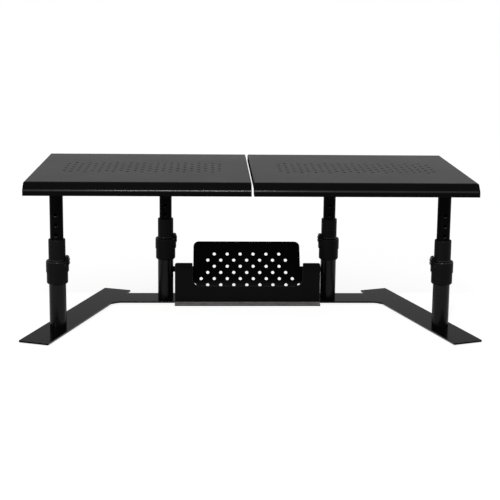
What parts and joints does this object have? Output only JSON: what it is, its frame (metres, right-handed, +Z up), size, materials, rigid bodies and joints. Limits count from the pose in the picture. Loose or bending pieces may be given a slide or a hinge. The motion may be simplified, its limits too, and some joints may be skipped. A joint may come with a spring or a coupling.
{
  "type": "monitor stand",
  "caption": "Split monitor stand with perforated platforms on height-adjustable legs, sliding flat bases and a leaning perforated holder between them",
  "frame": {"origin": "bottom centre of the overall box, on the desk, at rest", "axes": "+X right along the stand, +Y from front to back, +Z up"},
  "size_m": [0.7652, 0.3845, 0.261],
  "materials": {
    "platform_coat": "satin black powder coat on perforated sheet steel",
    "black_coat": "satin black powder coat on steel plate and tube",
    "holder_coat": "satin black powder coat on folded sheet steel",
    "black_plastic": "fine matte moulded black plastic",
    "pad_rubber": "matte black rubber",
    "zinc_steel": "zinc plated steel"
  },
  "bodies": {
    "holder": {"holder_tray": "holder_coat", "holder_back": "holder_coat", "holder_rivet_1": "holder_coat", "holder_rivet_2": "holder_coat", "holder_rivet_3": "holder_coat", "holder_rivet_4": "holder_coat"},
    "left_base": {"left_base_arm": "black_coat", "left_base_strip": "black_coat", "left_arm_front_pad": "pad_rubber", "left_front_leg_pad": "pad_rubber", "left_arm_rear_pad": "pad_rubber", "left_rear_leg_pad": "pad_rubber", "front_left_lower_tube": "black_coat", "front_left_collar": "black_plastic", "rear_left_lower_tube": "black_coat", "rear_left_collar": "black_plastic"},
    "left_top": {"left_platform": "platform_coat", "front_left_inner_tube": "black_coat", "front_left_glide": "black_plastic", "front_left_flange": "black_coat", "front_left_nut_1": "zinc_steel", "front_left_nut_2": "zinc_steel", "front_left_nut_3": "zinc_steel", "rear_left_inner_tube": "black_coat", "rear_left_glide": "black_plastic", "rear_left_flange": "black_coat", "rear_left_nut_1": "zinc_steel", "rear_left_nut_2": "zinc_steel", "rear_left_nut_3": "zinc_steel"},
    "front_left_ring": {"front_left_lock_ring": "black_plastic"},
    "front_left_pin": {"front_left_lock_pin": "zinc_steel"},
    "rear_left_ring": {"rear_left_lock_ring": "black_plastic"},
    "rear_left_pin": {"rear_left_lock_pin": "zinc_steel"},
    "right_base": {"right_base_arm": "black_coat", "right_base_strip": "black_coat", "right_arm_front_pad": "pad_rubber", "right_front_leg_pad": "pad_rubber", "right_arm_rear_pad": "pad_rubber", "right_rear_leg_pad": "pad_rubber", "front_right_lower_tube": "black_coat", "front_right_collar": "black_plastic", "rear_right_lower_tube": "black_coat", "rear_right_collar": "black_plastic"},
    "right_top": {"right_platform": "platform_coat", "front_right_inner_tube": "black_coat", "front_right_glide": "black_plastic", "front_right_flange": "black_coat", "front_right_nut_1": "zinc_steel", "front_right_nut_2": "zinc_steel", "front_right_nut_3": "zinc_steel", "rear_right_inner_tube": "black_coat", "rear_right_glide": "black_plastic", "rear_right_flange": "black_coat", "rear_right_nut_1": "zinc_steel", "rear_right_nut_2": "zinc_steel", "rear_right_nut_3": "zinc_steel"},
    "front_right_ring": {"front_right_lock_ring": "black_plastic"},
    "front_right_pin": {"front_right_lock_pin": "zinc_steel"},
    "rear_right_ring": {"rear_right_lock_ring": "black_plastic"},
    "rear_right_pin": {"rear_right_lock_pin": "zinc_steel"}
  },
  "joints": [
    {"name": "left_width_slide", "type": "slide", "parent": "holder", "child": "left_base", "axis": [-1, 0, 0], "range_m": [0, 0.075]},
    {"name": "left_height_slide", "type": "slide", "parent": "left_base", "child": "left_top", "axis": [0, 0, 1], "range_m": [-0.087, 0]},
    {"name": "front_left_ring_turn", "type": "hinge", "parent": "left_base", "child": "front_left_ring", "pos_m": [-0.3295, -0.08792, 0.112], "axis": [0, 0, -1], "range_deg": [0, 35]},
    {"name": "front_left_pin_slide", "type": "slide", "parent": "left_base", "child": "front_left_pin", "axis": [0, 1, 0], "range_m": [0, 0.002]},
    {"name": "rear_left_ring_turn", "type": "hinge", "parent": "left_base", "child": "rear_left_ring", "pos_m": [-0.1525, 0.09108, 0.112], "axis": [0, 0, -1], "range_deg": [0, 35]},
    {"name": "rear_left_pin_slide", "type": "slide", "parent": "left_base", "child": "rear_left_pin", "axis": [0, 1, 0], "range_m": [0, 0.002]},
    {"name": "right_width_slide", "type": "slide", "parent": "holder", "child": "right_base", "axis": [1, 0, 0], "range_m": [0, 0.075]},
    {"name": "right_height_slide", "type": "slide", "parent": "right_base", "child": "right_top", "axis": [0, 0, 1], "range_m": [-0.087, 0]},
    {"name": "front_right_ring_turn", "type": "hinge", "parent": "right_base", "child": "front_right_ring", "pos_m": [0.3295, -0.08792, 0.112], "axis": [0, 0, 1], "range_deg": [0, 35]},
    {"name": "front_right_pin_slide", "type": "slide", "parent": "right_base", "child": "front_right_pin", "axis": [0, 1, 0], "range_m": [0, 0.002]},
    {"name": "rear_right_ring_turn", "type": "hinge", "parent": "right_base", "child": "rear_right_ring", "pos_m": [0.1525, 0.09108, 0.112], "axis": [0, 0, 1], "range_deg": [0, 35]},
    {"name": "rear_right_pin_slide", "type": "slide", "parent": "right_base", "child": "rear_right_pin", "axis": [0, 1, 0], "range_m": [0, 0.002]}
  ],
  "couplings": [
    {"joint": "front_left_pin_slide", "follows": "front_left_ring_turn", "m_per_rad": 0.003274},
    {"joint": "rear_left_pin_slide", "follows": "rear_left_ring_turn", "m_per_rad": 0.003274},
    {"joint": "front_right_pin_slide", "follows": "front_right_ring_turn", "m_per_rad": 0.003274},
    {"joint": "rear_right_pin_slide", "follows": "rear_right_ring_turn", "m_per_rad": 0.003274}
  ]
}
